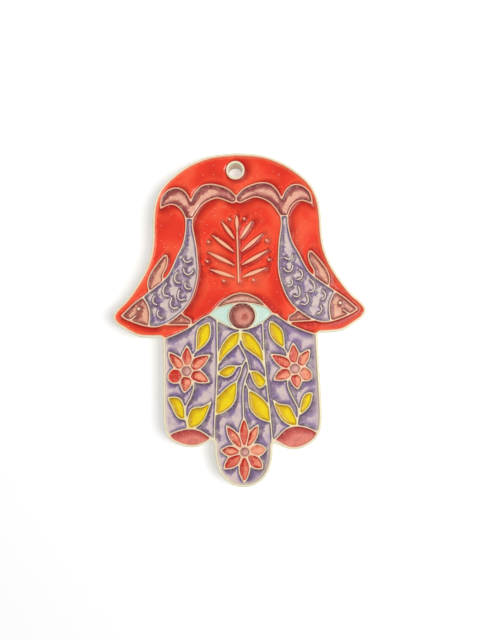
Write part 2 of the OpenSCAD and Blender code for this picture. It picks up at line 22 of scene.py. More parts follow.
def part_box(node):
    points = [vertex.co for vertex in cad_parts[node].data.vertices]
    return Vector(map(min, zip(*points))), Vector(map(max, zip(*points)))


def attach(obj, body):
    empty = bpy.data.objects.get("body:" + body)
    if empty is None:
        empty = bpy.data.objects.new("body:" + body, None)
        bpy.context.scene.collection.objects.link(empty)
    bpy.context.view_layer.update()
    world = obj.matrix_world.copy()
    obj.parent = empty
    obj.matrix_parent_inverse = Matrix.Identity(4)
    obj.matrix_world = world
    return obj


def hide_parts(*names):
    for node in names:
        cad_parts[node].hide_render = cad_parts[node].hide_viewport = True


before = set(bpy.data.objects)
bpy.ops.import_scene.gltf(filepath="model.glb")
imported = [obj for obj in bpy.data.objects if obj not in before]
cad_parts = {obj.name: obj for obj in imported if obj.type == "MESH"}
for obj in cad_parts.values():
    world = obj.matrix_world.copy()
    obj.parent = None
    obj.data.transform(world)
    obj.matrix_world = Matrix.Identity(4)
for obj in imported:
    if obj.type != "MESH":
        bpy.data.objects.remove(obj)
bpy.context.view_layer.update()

log = logging.getLogger("hamsa")

Rgb = tuple[int, int, int]

MM = 0.001
# The widest distance from the raised lines at which a glaze still changes its colour
RAMP_SPAN = 4.2
# Towards the upper left: a pool's dark edge is widest on that side, as painted shadow cast by the
# raised lines under light from the upper left
SHADOW_LEAN_X, SHADOW_LEAN_Y = -0.92, 0.39
# Distance between the points that stand for a line when distances to it are measured
EDGE_STEP = 0.08
# A place beside a line is free if no line is nearer than this share of its own distance
FREE_SHARE = 0.9
# Edges that bend by more degrees than this stay sharp
CREASE = 60
# Levels of the noise between which a glaze's pale patches and its dark ones set in; on the red
# glaze the pale patches are painted sheen
PALE_NOISE, DARK_NOISE = (0.46, 0.74), (0.26, 0.54)
# Levels of the fine grain's noise, and the grey that each multiplies into the glaze
GRAIN_STOPS = ((0.3, (150, 150, 150)), (0.7, (255, 255, 255)))
# Share of its own colour that a pale spot has, partly bubble and partly painted glint, and that a
# thin glaze has at the rim
BUBBLE_GLINT_SHARE, THIN_SHARE = 0.7, 0.85
# Levels of the noise between which the clay's specks set in, and how strong they get
SPECK_NOISE, SPECK_SHARE = (0.56, 0.72), 0.5
# A height this near to a face's level counts as on it
LEVEL_SLACK = 0.01
# Points nearer than this to each other may be merged when an area is cut into triangles
MERGE = 1e-5


class Side(Enum):
    """Which side of the hand a mirrored sub-assembly lies on."""

    LEFT = "left"
    RIGHT = "right"


def linear(colour: Rgb) -> tuple[float, float, float, float]:
    """Turns a colour as a screen shows it into the renderer's linear light.

    Args:
        colour: red, green and blue from 0 to 255.

    Returns:
        Linear red, green, blue and an alpha of 1.
    """
    shares = [c / 255 for c in colour]
    lit = [c / 12.92 if c <= 0.04045 else ((c + 0.055) / 1.055) ** 2.4 for c in shares]
    return (lit[0], lit[1], lit[2], 1.0)


def grey(level: float) -> tuple[float, float, float, float]:
    """An even grey in linear light, with an alpha of 1."""
    return (level, level, level, 1.0)


class NodeSheet:
    """The node tree of a material or a world, with short calls that add and link its nodes."""

    def __init__(self, owner: Material | World) -> None:
        """Starts an empty node tree.

        Args:
            owner: the new material or world that the tree belongs to.
        """
        self.owner = owner
        owner.use_nodes = True
        self.tree = owner.node_tree
        self.tree.nodes.clear()
        kind = "World" if isinstance(owner, World) else "Material"
        self.output = self.tree.nodes.new(f"ShaderNodeOutput{kind}")

    def add(self, kind: str, **inputs: object) -> Node:
        """Adds a node and fills its sockets.

        Args:
            kind: the node's Blender type.
            **inputs: a value or an output socket for each input, spaces written as _.

        Returns:
            The new node.
        """
        node = self.tree.nodes.new(kind)
        for name, value in inputs.items():
            self.fill(node.inputs[name.replace("_", " ")], value)
        return node

    def fill(self, socket: NodeSocket, value: object) -> None:
        """Links an output socket to an input, or sets the input's own value.

        Args:
            socket: the input.
            value: the output socket or the value.
        """
        if isinstance(value, NodeSocket):
            self.tree.links.new(value, socket)
        else:
            socket.default_value = value

    def math(self, operation: str, first: object, second: object) -> NodeSocket:
        """Adds a Math node and returns its result.

        Args:
            operation: the Math node's operation.
            first: a number or an output socket.
            second: a number or an output socket.

        Returns:
            The socket that carries the result.
        """
        node = self.tree.nodes.new("ShaderNodeMath")
        node.operation = operation
        self.fill(node.inputs[0], first)
        self.fill(node.inputs[1], second)
        return node.outputs[0]

    def grain(self, size: float, detail: float = 3.0) -> NodeSocket:
        """Adds noise that is fixed to the object.

        Args:
            size: the width of one grain.
            detail: how many finer layers it has.

        Returns:
            The socket that carries the noise, from 0 to 1.
        """
        place = self.tree.nodes.new("ShaderNodeTexCoord").outputs["Object"]
        scale = 1 / (size * MM)
        node = self.add("ShaderNodeTexNoise", Vector=place, Scale=scale, Detail=detail)
        return node.outputs["Fac"]

    def ramp(self, factor: NodeSocket, stops: Iterable[tuple[float, Rgb]]) -> NodeSocket:
        """Adds a colour ramp.

        Args:
            factor: the socket that drives it, from 0 to 1.
            stops: each stop's place and colour, in rising order.

        Returns:
            The socket that carries the colour.
        """
        node = self.add("ShaderNodeValToRGB", Fac=factor)
        ramp = node.color_ramp
        for i, (place, colour) in enumerate(stops):
            stop = ramp.elements[i] if i < 2 else ramp.elements.new(place)
            stop.position = place
            stop.color = linear(colour)
        return node.outputs["Color"]

    def blend(self, kind: str, factor: object, first: object, second: object) -> NodeSocket:
        """Adds a colour Mix node.

        Args:
            kind: the blend type.
            factor: how much of the second colour is used.
            first: the first colour or its socket.
            second: the second colour or its socket.

        Returns:
            The socket that carries the mixed colour.
        """
        node = self.tree.nodes.new("ShaderNodeMix")
        node.data_type = "RGBA"
        node.blend_type = kind
        self.fill(node.inputs["Factor"], factor)
        self.fill(node.inputs[6], first)
        self.fill(node.inputs[7], second)
        return node.outputs[2]

    def span(
        self, value: NodeSocket, low: float, high: float, first: float, last: float
    ) -> NodeSocket:
        """Adds a smooth step from one number to another.

        Args:
            value: the socket that drives it.
            low: where the step starts.
            high: where it ends.
            first: the number up to its start.
            last: the number from its end on.

        Returns:
            The socket that carries the number.
        """
        node = self.add(
            "ShaderNodeMapRange", Value=value,
            From_Min=low, From_Max=high, To_Min=first, To_Max=last,
        )
        node.interpolation_type = "SMOOTHSTEP"
        return node.outputs["Result"]

    def spots(self, spacing: float, size: float, share: float) -> NodeSocket:
        """Adds scattered round spots.

        Args:
            spacing: the distance between the places where a spot can sit.
            size: a spot's radius, as a share of that distance.
            share: the share of the places that have one.

        Returns:
            The socket that is 1 in a spot and 0 outside.
        """
        place = self.tree.nodes.new("ShaderNodeTexCoord")
        node = self.add("ShaderNodeTexVoronoi", Vector=place.outputs["Object"])
        node.voronoi_dimensions = "2D"
        node.inputs["Scale"].default_value = 1 / (spacing * MM)
        parts = self.add("ShaderNodeSeparateColor", Color=node.outputs["Color"])
        chosen = self.math("LESS_THAN", parts.outputs[0], share)
        inner, outer = 0.6 * size, 1.2 * size
        disc = self.span(node.outputs["Distance"], inner, outer, 1.0, 0.0)
        return self.math("MULTIPLY", disc, chosen)

    def seen_directly(self) -> NodeSocket:
        """Adds a factor that is 1 for the camera, mirrored and passed light, and 0 for the rest.

        Returns:
            The socket that carries the factor.
        """
        rays = self.tree.nodes.new("ShaderNodeLightPath").outputs
        plain = self.math("MAXIMUM", rays["Is Camera Ray"], rays["Is Glossy Ray"])
        return self.math("MAXIMUM", plain, rays["Is Transmission Ray"])

    def attribute(self, name: str, output: str) -> NodeSocket:
        """Adds a node that reads an attribute of the mesh.

        Args:
            name: the attribute's name.
            output: the node's output, for a number or a colour.

        Returns:
            The output socket.
        """
        node = self.tree.nodes.new("ShaderNodeAttribute")
        node.attribute_name = name
        return node.outputs[output]

    def mixed(self, factor: NodeSocket, first: Node, second: Node) -> Node:
        """Adds a Mix Shader node.

        Args:
            factor: how much of the second shader is used.
            first: the first shader.
            second: the second shader.

        Returns:
            The node.
        """
        node = self.add("ShaderNodeMixShader", Fac=factor)
        self.fill(node.inputs[1], first.outputs[0])
        self.fill(node.inputs[2], second.outputs[0])
        return node

    def close(self, shader: Node) -> Material | World:
        """Links the finished shader to the output and returns the tree's owner."""
        self.fill(self.output.inputs["Surface"], shader.outputs[0])
        return self.owner


@dataclass(frozen=True)
class GlazeFinish:
    """A fired glaze, darker beside the raised lines where it pooled and where painted shade stands
    for their shadow, most on the pools' upper left.

    Attributes:
        slot: the record's material slot.
        stops: each distance from the raised lines and the glaze's colour there.
        stain: colour that the glaze gives to the raised lines beside it.
        light: colour of the patches where the melt ran thin, and on the red glaze of its painted
            sheen of soft reflected light.
        dark: colour of the patches where the melt gathered.
        cloudy: how far the patches take those colours, as a share.
        cloud: width of the patches.
        thin: colour where the glaze runs out on the hand's outer edge.
        thin_w: how far in from the rim that colour reaches.
        shadow_lean: how much wider the dark edge is on the pools' upper left, as a share; this
            widening is painted shadow of the raised lines.
        mottle: how far the colours wander from their distances.
        mottle_w: width of those swings.
        grain: width of the fine grain.
        speck: strength of the fine grain.
        blisters: share of the places where a pale spot can sit that have one; each spot is partly
            a bubble and partly a painted glint.
        bubble_and_glint: a pale spot's colour, partly a bubble's and partly a painted glint of
            reflected light.
        blister_gap: distance between the places where one can sit.
        blister_r: a blister's radius, as a share of that distance.
        ripple: strength of the ripples in the surface.
        ripple_w: width of the ripples.
        ripple_h: height of the ripples.
        roughness: how dull the surface is, from 0 to 1.
        gloss: strength of its mirrored light, where 0.5 is usual.
    """

    slot: str
    stops: tuple[tuple[float, Rgb], ...]
    stain: Rgb
    light: Rgb
    dark: Rgb
    cloudy: float = 0.5
    cloud: float = 2.2
    thin: Rgb | None = None
    thin_w: float = 1.5
    shadow_lean: float = 0.75
    mottle: float = 0.5
    mottle_w: float = 1.4
    grain: float = 0.35
    speck: float = 0.25
    blisters: float = 0.25
    bubble_and_glint: Rgb = (246, 236, 230)
    blister_gap: float = 0.9
    blister_r: float = 0.12
    ripple: float = 0.4
    ripple_w: float = 0.7
    ripple_h: float = 0.1
    roughness: float = 0.12
    gloss: float = 0.22

    def melt(self, sheet: NodeSheet, drift: NodeSocket) -> NodeSocket:
        """Colours the glaze by its distance from the raised lines, shortened on their lower right
        as painted shadow, by its filling and by its patches.

        Args:
            sheet: the material's nodes.
            drift: the swings that move the colours from their distances.

        Returns:
            The socket that carries the colour.
        """
        swing = sheet.math("MULTIPLY", drift, self.mottle)
        # The darkening beside the lines is partly pooled glaze and partly painted shade; the depth
        # attribute makes it widest on the pools' upper left
        place = sheet.math("ADD", sheet.attribute("depth", "Fac"), swing)
        share = sheet.math("DIVIDE", place, RAMP_SPAN)
        colour = sheet.ramp(share, [(at / RAMP_SPAN, stop) for at, stop in self.stops])
        fill, cloud = sheet.attribute("fill", "Fac"), sheet.grain(self.cloud, 1.0)
        less = sheet.math("MULTIPLY", fill, -1.0)
        for amount, shade in (
            (sheet.math("MAXIMUM", fill, 0.0), self.dark),
            (sheet.math("MAXIMUM", less, 0.0), self.light),
            # Pale patches; on the red glaze they are painted sheen of reflected light
            (sheet.span(cloud, *PALE_NOISE, 0.0, self.cloudy), self.light),
            (sheet.span(cloud, *DARK_NOISE, self.cloudy, 0.0), self.dark),
        ):
            colour = sheet.blend("MIX", amount, colour, linear(shade))
        return colour

    def material(self, name: str) -> Material:
        """Builds the glaze's material.

        Args:
            name: the material's name.

        Returns:
            The material.
        """
        sheet = NodeSheet(bpy.data.materials.new(name))
        drift = sheet.math("SUBTRACT", sheet.grain(self.mottle_w, 2.0), 0.5)
        colour = self.melt(sheet, drift)
        if self.thin:
            inland = sheet.math("ADD", sheet.attribute("inland", "Fac"), drift)
            near = sheet.span(inland, 0.0, self.thin_w, THIN_SHARE, 0.0)
            colour = sheet.blend("MIX", near, colour, linear(self.thin))
        fine = sheet.ramp(sheet.grain(self.grain, 2.0), GRAIN_STOPS)
        speckled = sheet.blend("MULTIPLY", self.speck, colour, fine)
        # Pale spots: partly bubbles in the glaze, partly painted glints of reflected light
        spots = sheet.spots(self.blister_gap, self.blister_r, self.blisters)
        pale = sheet.math("MULTIPLY", spots, BUBBLE_GLINT_SHARE)
        bubbled_and_glinting = sheet.blend("MIX", pale, speckled, linear(self.bubble_and_glint))
        swell = sheet.math("ADD", sheet.grain(self.ripple_w, 2.0), spots)
        ripples = sheet.add(
            "ShaderNodeBump", Height=swell, Strength=self.ripple, Distance=self.ripple_h * MM
        )
        glass = sheet.add(
            "ShaderNodeBsdfPrincipled", Base_Color=bubbled_and_glinting, Normal=ripples.outputs[0],
            Roughness=self.roughness, IOR=1.5, Specular_IOR_Level=self.gloss,
        )
        return sheet.close(glass)


@dataclass(frozen=True)
class ClayFinish:
    """Cream clay under a thin clear glaze that picks up its neighbours' colours.

    Attributes:
        slot: the record's material slot; not used.
        rim: colour of the outer edge of the hand.
        face: colour of the bare back.
        speck: colour of the clay's fine specks.
        rim_w: width of the outer edge's band.
        rim_full: width of the part of it that has the rim's full colour.
        wander: how far the band's width swings.
        wander_w: width of those swings.
        speck_w: width of the specks.
        skin: strength of the bumps in the surface.
        skin_w: width of the bumps.
        skin_h: height of the bumps.
        roughness: how dull the surface is, from 0 to 1.
        gloss: strength of its mirrored light, where 0.5 is usual.
    """

    slot: str = "clay"
    rim: Rgb = (240, 232, 202)
    face: Rgb = (232, 222, 198)
    speck: Rgb = (205, 186, 150)
    rim_w: float = 1.1
    rim_full: float = 0.35
    wander: float = 0.5
    wander_w: float = 2.5
    speck_w: float = 0.5
    skin: float = 0.3
    skin_w: float = 0.6
    skin_h: float = 0.12
    roughness: float = 0.24
    gloss: float = 0.3

    def material(self, name: str) -> Material:
        """Builds the clay's material.

        Args:
            name: the material's name.

        Returns:
            The material.
        """
        sheet = NodeSheet(bpy.data.materials.new(name))
        stain, edge = sheet.attribute("stain", "Color"), sheet.attribute("edge", "Fac")
        drift = sheet.math("SUBTRACT", sheet.grain(self.wander_w), 0.5)
        place = sheet.math("ADD", edge, sheet.math("MULTIPLY", drift, self.wander))
        inner = sheet.span(place, self.rim_full, self.rim_w, 0.0, 1.0)
        colour = sheet.blend("MIX", inner, linear(self.rim), stain)
        specks = sheet.add(
            "ShaderNodeMapRange", Value=sheet.grain(self.speck_w, 2.0),
            From_Min=SPECK_NOISE[0], From_Max=SPECK_NOISE[1], To_Max=SPECK_SHARE,
        )
        speckled = sheet.blend("MIX", specks.outputs["Result"], colour, linear(self.speck))
        bumps = sheet.add(
            "ShaderNodeBump", Height=sheet.grain(self.skin_w, 4.0),
            Strength=self.skin, Distance=self.skin_h * MM,
        )
        clay = sheet.add(
            "ShaderNodeBsdfPrincipled", Base_Color=speckled, Normal=bumps.outputs[0],
            Roughness=self.roughness, Specular_IOR_Level=self.gloss,
        )
        return sheet.close(clay)


# The red's large pale patches are painted sheen of soft reflected light
RED = GlazeFinish(
    "red_glaze",
    ((0.0, (150, 22, 6)), (0.35, (172, 24, 6)), (0.8, (204, 38, 16)), (1.4, (234, 60, 30)),
     (2.2, (246, 76, 44)), (3.8, (244, 56, 30))),
    stain=(254, 184, 146), light=(255, 108, 70), dark=(206, 30, 16), cloud=9.0,
    thin=(240, 112, 74), thin_w=1.1, shadow_lean=0.85, speck=0.03, blisters=0.05,
)
TAIL = GlazeFinish(
    "mauve_glaze",
    ((0.0, (118, 46, 48)), (0.4, (138, 60, 60)), (0.9, (166, 78, 76)), (1.45, (206, 124, 114)),
     (2.1, (246, 184, 158))),
    stain=(252, 196, 166), light=(244, 186, 158), dark=(166, 84, 82), cloudy=0.2, cloud=1.4,
    mottle=0.25,
)
LID = GlazeFinish(
    "mauve_glaze",
    ((0.0, (116, 56, 46)), (0.3, (146, 80, 66)), (0.7, (200, 132, 114)), (1.2, (240, 182, 160))),
    stain=(236, 192, 160), light=(240, 186, 164), dark=(186, 116, 104), cloudy=0.2, mottle=0.25,
    speck=0.2,
)
LILAC = GlazeFinish(
    "lilac_glaze",
    ((0.0, (92, 68, 78)), (0.35, (112, 88, 102)), (0.8, (132, 108, 134)), (1.3, (162, 138, 164)),
     (2.0, (222, 202, 194))),
    stain=(244, 226, 206), light=(222, 204, 196), dark=(136, 106, 172), cloudy=0.35, cloud=2.6,
    shadow_lean=0.8, mottle=0.25, speck=0.1, blisters=0.5,
)
GROUND = GlazeFinish(
    "lilac_glaze",
    ((0.0, (86, 64, 74)), (0.35, (108, 84, 98)), (0.8, (130, 106, 136)), (1.4, (162, 138, 166)),
     (2.3, (214, 192, 194)), (3.2, (220, 198, 194))),
    stain=(240, 226, 194), light=(222, 202, 196), dark=(138, 108, 176), cloudy=0.35, cloud=3.0,
    thin=(214, 194, 184), thin_w=1.4, shadow_lean=0.8, mottle=0.25, speck=0.1, blisters=0.35,
)
HEAD = GlazeFinish(
    "pink_glaze",
    ((0.0, (118, 48, 42)), (0.35, (154, 78, 66)), (0.8, (182, 98, 86)), (1.3, (224, 150, 128)),
     (1.9, (244, 184, 152))),
    stain=(252, 216, 188), light=(240, 180, 154), dark=(180, 94, 86), cloudy=0.25, cloud=1.8,
    mottle=0.3,
)
FIN = replace(HEAD, stain=(250, 200, 170))
WHITE = GlazeFinish(
    "turquoise_white_glaze",
    ((0.0, (204, 206, 178)), (0.3, (212, 228, 210)), (0.7, (208, 232, 220)),
     (1.5, (206, 232, 218))),
    stain=(228, 222, 194), light=(214, 238, 228), dark=(198, 228, 212), cloudy=0.2, speck=0.05,
    blisters=0.0,
)
IRIS = GlazeFinish(
    "iris_glaze",
    ((0.0, (106, 44, 38)), (0.5, (132, 64, 54)), (0.9, (146, 72, 62)), (1.3, (176, 96, 84)),
     (1.9, (216, 140, 122)), (2.8, (230, 150, 132)), (3.5, (218, 130, 112)), (4.2, (190, 96, 80))),
    stain=(244, 220, 196), light=(232, 164, 144), dark=(182, 102, 92), cloudy=0.2, cloud=1.4,
    shadow_lean=0.4, mottle=0.25,
)
YELLOW = GlazeFinish(
    "yellow_glaze",
    ((0.0, (160, 108, 0)), (0.35, (196, 152, 0)), (0.7, (220, 180, 0)), (1.2, (236, 198, 0)),
     (1.8, (242, 212, 0))),
    stain=(244, 228, 128), light=(246, 222, 0), dark=(230, 186, 0), cloudy=0.35, cloud=2.6,
    speck=0.03, mottle=0.3, blisters=0.03,
)
SALMON = GlazeFinish(
    "salmon_glaze",
    ((0.0, (134, 16, 10)), (0.3, (168, 36, 24)), (0.55, (206, 70, 50)), (0.85, (240, 124, 98)),
     (1.2, (255, 164, 130))),
    stain=(254, 206, 172), light=(254, 176, 140), dark=(214, 40, 28), cloudy=0.45, shadow_lean=0.85,
    mottle=0.3,
)
CENTRE = GlazeFinish(
    "flower_centre_glaze",
    ((0.0, (146, 86, 78)), (0.3, (180, 120, 112)), (0.8, (216, 158, 152)), (1.3, (234, 178, 166))),
    stain=(228, 190, 160), light=(232, 180, 168), dark=(190, 130, 130), cloudy=0.3, cloud=1.4,
    mottle=0.3,
)
CRIMSON = GlazeFinish(
    "crimson_glaze",
    ((0.0, (146, 50, 48)), (0.4, (184, 70, 64)), (0.9, (208, 84, 78)), (1.4, (222, 104, 96)),
     (2.2, (246, 142, 128))),
    stain=(252, 206, 180), light=(242, 142, 126), dark=(204, 80, 78), cloudy=0.3, cloud=1.6,
    thin=(226, 132, 108), thin_w=0.6, mottle=0.3, grain=0.22, speck=0.45, blisters=0.1,
)


def boundary(node: str, level: float, up: bool) -> list[np.ndarray]:
    """Finds the lines round a CAD node's flat face at one height.

    Args:
        node: the CAD node's name.
        level: the face's height.
        up: whether the face looks up.

    Returns:
        Closed lines of points, each with the face on its left as seen from above.
    """
    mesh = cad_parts[node].data
    mesh.calc_loop_triangles()
    places = np.array([v.co for v in mesh.vertices]) / MM
    keys = [tuple(p) for p in places[:, :2].tolist()]
    flat = np.abs(places[:, 2] - level) < LEVEL_SLACK
    sides: set[tuple[tuple, tuple]] = set()
    for triangle in mesh.loop_triangles:
        if all(flat[v] for v in triangle.vertices) and (triangle.normal.z > 0) == up:
            a, b, c = (keys[v] for v in triangle.vertices)
            sides.update([(a, b), (b, c), (c, a)] if up else [(b, a), (c, b), (a, c)])
    following: dict[tuple, list[tuple]] = {}
    for a, b in sorted(sides):
        if (b, a) not in sides:
            following.setdefault(a, []).append(b)
    lines = []
    while following:
        first = next(iter(following))
        line, here = [first], following[first].pop()
        while here != first:
            line.append(here)
            here = following[here].pop()
        following = {a: ends for a, ends in following.items() if ends}
        lines.append(np.array(line))
    return sorted(lines, key=lambda line: tuple(line.min(axis=0)))


def evenly(line: np.ndarray, step: float) -> np.ndarray:
    """Sets points evenly along a closed line.

    Args:
        line: the closed line's points.
        step: the wanted distance between points.

    Returns:
        The new points.
    """
    closed = np.vstack([line, line[:1]])
    along = np.concatenate([[0], np.cumsum(np.linalg.norm(np.diff(closed, axis=0), axis=1))])
    count = max(8, round(along[-1] / step))
    places = np.linspace(0, along[-1], count, endpoint=False)
    return np.column_stack([np.interp(places, along, closed[:, k]) for k in (0, 1)])


def calmed(values: np.ndarray) -> np.ndarray:
    """Draws each value along a closed line halfway towards its neighbours' mean."""
    return 0.5 * values + 0.25 * (np.roll(values, 1, axis=0) + np.roll(values, -1, axis=0))


def softened(line: np.ndarray, step: float, radius: float) -> np.ndarray:
    """Rounds a closed line's corners as wet clay does.

    Args:
        line: the closed line's points.
        step: the distance between the points that come back.
        radius: the spread of the rounding.

    Returns:
        The rounded line.
    """
    fine = step / 2
    points = evenly(line, fine)
    for _ in range(round(2 * (radius / fine) ** 2)):
        points = calmed(points)
    return evenly(points, step)


def leftward(line: np.ndarray) -> np.ndarray:
    """Finds the way to the left of a closed line.

    Args:
        line: the closed line's points.

    Returns:
        A unit vector for each of its points.
    """
    ahead = np.roll(line, -1, axis=0) - np.roll(line, 1, axis=0)
    ahead /= np.linalg.norm(ahead, axis=1, keepdims=True)
    return np.column_stack([-ahead[:, 1], ahead[:, 0]])


def spread(points: np.ndarray, gap: float) -> np.ndarray:
    """Drops points that crowd an earlier one.

    Args:
        points: candidate points.
        gap: the least distance that two kept points may have.

    Returns:
        The kept points.
    """
    kept: dict[tuple[int, int], tuple[float, float]] = {}
    for x, y in points.tolist():
        i, j = int(x // gap), int(y // gap)
        near = (kept.get((i + a, j + b)) for a in (-1, 0, 1) for b in (-1, 0, 1))
        if not any(p and math.hypot(p[0] - x, p[1] - y) < gap for p in near):
            kept[(i, j)] = (x, y)
    return np.array(list(kept.values())).reshape(-1, 2)


def honeycomb(line: np.ndarray, step: float) -> np.ndarray:
    """Points on a honeycomb over a line's box.

    Args:
        line: the points whose box is filled.
        step: the distance between neighbouring points.

    Returns:
        The points.
    """
    low, high = line.min(axis=0), line.max(axis=0)
    rows = []
    for i, y in enumerate(np.arange(low[1], high[1], step * math.sqrt(3) / 2)):
        x = np.arange(low[0] + (i % 2) * step / 2, high[0], step)
        rows.append(np.column_stack([x, np.full(len(x), y)]))
    return np.vstack(rows)


class EdgeMap:
    """Distances from any point to a set of closed lines."""

    def __init__(self, lines: list[np.ndarray], tags: list[int] | None = None) -> None:
        """Takes the lines.

        Args:
            lines: the closed lines.
            tags: a number for each line, which near_tags gives back; without them, its place
                in the list.
        """
        dense = [evenly(line, EDGE_STEP) for line in lines]
        self.points = np.vstack(dense)
        self.tags = np.repeat(tags or list(range(len(lines))), [len(d) for d in dense])
        self.grow()

    def grow(self) -> None:
        """Builds the search tree over the points."""
        self.tree = kdtree.KDTree(len(self.points))
        for i, (x, y) in enumerate(self.points.tolist()):
            self.tree.insert((x, y, 0), i)
        self.tree.balance()

    def keep(self, chosen: np.ndarray) -> None:
        """Keeps only the chosen points of the lines."""
        self.points, self.tags = self.points[chosen], self.tags[chosen]
        self.grow()

    def distances(self, points: np.ndarray) -> np.ndarray:
        """Distance from each point to the nearest line."""
        found = (self.tree.find((x, y, 0)) for x, y in points.tolist())
        return np.array([distance for _, _, distance in found])

    def towards(self, points: np.ndarray) -> np.ndarray:
        """Finds the way from each point to the nearest line.

        Args:
            points: the points.

        Returns:
            A unit vector for each point.
        """
        hits = [self.tree.find((x, y, 0))[1] for x, y in points.tolist()]
        step = self.points[hits] - points
        return step / np.maximum(np.linalg.norm(step, axis=1, keepdims=True), 1e-6)

    def near_tags(self, point: tuple[float, float], count: int) -> list[tuple[int, float]]:
        """Tags and distances of the nearest points of the lines."""
        found = self.tree.find_n((*point, 0), count)
        return [(int(self.tags[i]), distance) for _, i, distance in found]


def rows_beside(
    lines: list[np.ndarray], edges: EdgeMap, offsets: Iterable[float], side: int
) -> np.ndarray:
    """Rows of points beside closed lines, where no other line is nearer.

    Args:
        lines: the closed lines.
        edges: the distances to all lines.
        offsets: each row's distance from its line.
        side: 1 for rows on the left of the lines, -1 for the right.

    Returns:
        The points.
    """
    kept = []
    for offset in offsets:
        row = np.vstack([line + side * offset * leftward(line) for line in lines])
        kept.append(row[edges.distances(row) > FREE_SHARE * offset])
    return np.vstack(kept)


@dataclass
class Tiling:
    """A flat area cut into triangles.

    Attributes:
        points: the area's points, its lines' points first.
        triangles: each triangle's three point numbers, counter-clockwise.
        rims: the point numbers along each line.
    """

    points: np.ndarray
    triangles: list[tuple[int, ...]]
    rims: list[list[int]]

    @classmethod
    def over(cls, lines: list[np.ndarray], inner: np.ndarray | None = None) -> Tiling:
        """Cuts the area between closed lines into triangles.

        Args:
            lines: the closed lines; a point lies in the area if an odd number go round it.
            inner: further points inside the area, if there are any.

        Returns:
            The tiling.
        """
        rims, rings, start = [], [], 0
        for line in lines:
            rim = list(range(start, start + len(line)))
            x, y = line[:, 0], line[:, 1]
            turning = np.sum(x * np.roll(y, -1) - y * np.roll(x, -1))
            rims.append(rim)
            rings.append(rim if turning > 0 else rim[::-1])
            start += len(line)
        given = np.vstack(lines if inner is None else [*lines, inner])
        spots = [Vector(p) for p in given.tolist()]
        places, _, faces, sources, _, inside = delaunay_2d_cdt(spots, [], rings, 0, MERGE, True)
        if len(places) != len(given) or any(s != [i] for i, s in enumerate(sources)):
            log.warning("tiling changed its points: %d from %d", len(places), len(given))
        kept = [tuple(face) for face, rings_in in zip(faces, inside) if len(rings_in) % 2]
        used = sorted({v for face in kept for v in face})
        renumbered = {v: i for i, v in enumerate(used)}
        return cls(
            np.array([tuple(places[v]) for v in used]),
            [tuple(renumbered[v] for v in face) for face in kept],
            [[renumbered[v] for v in rim] for rim in rims],
        )


def put_in_scene(name: str, data: ID) -> Object:
    """Makes an object that stands in the scene.

    Args:
        name: the object's name.
        data: its mesh, lamp or camera.

    Returns:
        The object, at the origin.
    """
    made = bpy.data.objects.new(name, data)
    bpy.context.scene.collection.objects.link(made)
    return made


class MeshParts:
    """The vertices, faces and attributes of a mesh that is being put together."""

    def __init__(self) -> None:
        """Starts with nothing."""
        self.vertices: list[tuple[float, float, float]] = []
        self.faces: list[tuple[int, ...]] = []

    def add_points(self, flat: np.ndarray, heights: np.ndarray | float) -> int:
        """Adds points at the given heights.

        Args:
            flat: the points as seen from above.
            heights: each point's height, or one for all.

        Returns:
            The first point's number.
        """
        start = len(self.vertices)
        solid = np.column_stack([flat, np.broadcast_to(heights, len(flat))])
        self.vertices += [tuple(p) for p in solid.tolist()]
        return start

    def add_triangles(self, tiling: Tiling, start: int, up: bool) -> None:
        """Adds a tiling's triangles, looking up or down."""
        turned = tiling.triangles if up else [t[::-1] for t in tiling.triangles]
        self.faces += [tuple(start + v for v in t) for t in turned]

    def add_wall(self, upper: list[int], lower: list[int], outward_right: bool) -> None:
        """Adds a wall between two closed rows of vertices, one above the other.

        Args:
            upper: the upper row's vertex numbers.
            lower: the lower row's vertex numbers.
            outward_right: whether the wall looks to the right of the rows' direction.
        """
        for i in range(len(upper)):
            j = (i + 1) % len(upper)
            quad = (lower[i], lower[j], upper[j], upper[i])
            self.faces.append(quad if outward_right else quad[::-1])

    def finish(self, name: str) -> Object:
        """Makes the object.

        Args:
            name: the object's name.

        Returns:
            The object, at the origin.
        """
        mesh = bpy.data.meshes.new(name)
        mesh.from_pydata([(x * MM, y * MM, z * MM) for x, y, z in self.vertices], [], self.faces)
        mesh.polygons.foreach_set("use_smooth", [True] * len(mesh.polygons))
        mesh.set_sharp_from_angle(angle=math.radians(CREASE))
        mesh.update()
        if mesh.validate():
            log.warning("%s: the mesh had faults", name)
        return put_in_scene(name, mesh)


def put_numbers(piece: Object, name: str, values: np.ndarray) -> None:
    """Stores a number for each vertex of a piece under a name."""
    attribute = piece.data.attributes.new(name, "FLOAT", "POINT")
    attribute.data.foreach_set("value", values.astype(np.float32))


def put_colours(piece: Object, name: str, values: np.ndarray) -> None:
    """Stores a colour for each vertex of a piece under a name."""
    attribute = piece.data.attributes.new(name, "FLOAT_COLOR", "POINT")
    attribute.data.foreach_set("color", values.astype(np.float32).ravel())


def dress(piece: Object, node: str, material: Material) -> None:
    """Gives a piece its material and lets it stand for its CAD node.

    Args:
        piece: the piece.
        node: the CAD node that it stands for.
        material: the finished material.
    """
    piece.data.materials.append(material)
    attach(piece, "root")
    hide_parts(node)
    log.info("%s: %d faces", piece.name, len(piece.data.polygons))


